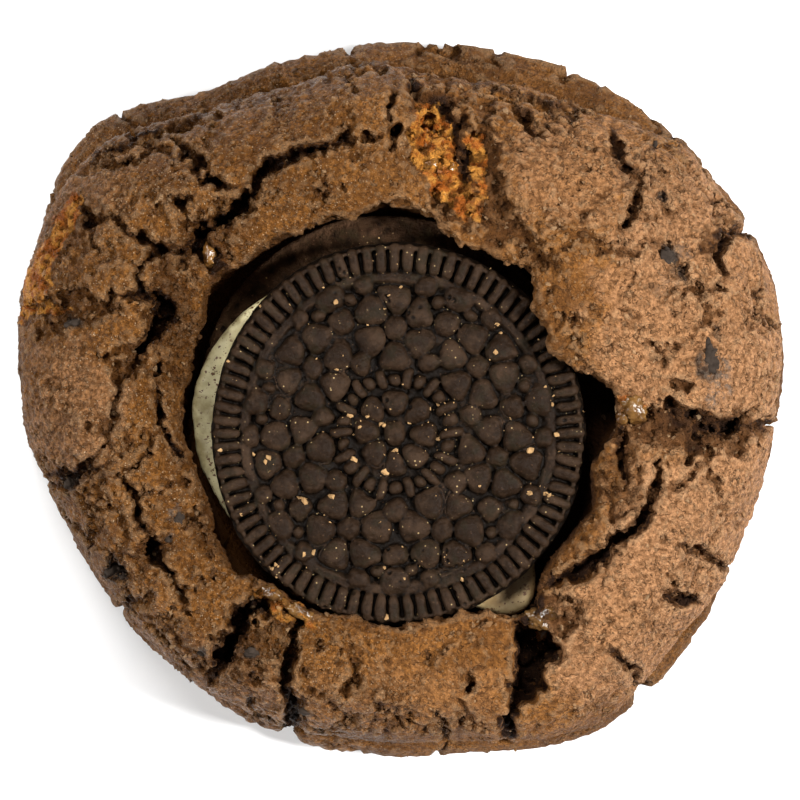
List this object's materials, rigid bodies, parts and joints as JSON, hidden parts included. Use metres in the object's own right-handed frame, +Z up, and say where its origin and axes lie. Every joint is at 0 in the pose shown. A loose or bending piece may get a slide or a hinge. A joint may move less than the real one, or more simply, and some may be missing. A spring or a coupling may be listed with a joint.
{
  "type": "chocolate cookie",
  "caption": "Thick round chocolate cookie with a cracked, craggy crust and a cream-filled dark sandwich biscuit sunk in a hollow in its top.",
  "frame": {"origin": "middle of the footprint's box, on the flat base that the cookie rests on", "axes": "+Z up out of the face with the sandwich biscuit, +X across the widest part of the cookie, +Y towards the side with the narrow ledge"},
  "size_m": [0.0902, 0.0846, 0.0285],
  "materials": {
    "baked_crust": "matt, cracked and crumbly brown crust",
    "dark_wafer": "matt, nearly black baked wafer with a moulded relief",
    "pale_cream": "soft off-white cream with brown specks"
  },
  "bodies": {
    "root": {"dough": "baked_crust", "lower_wafer": "dark_wafer", "cream": "pale_cream", "upper_wafer": "dark_wafer"}
  },
  "joints": []
}
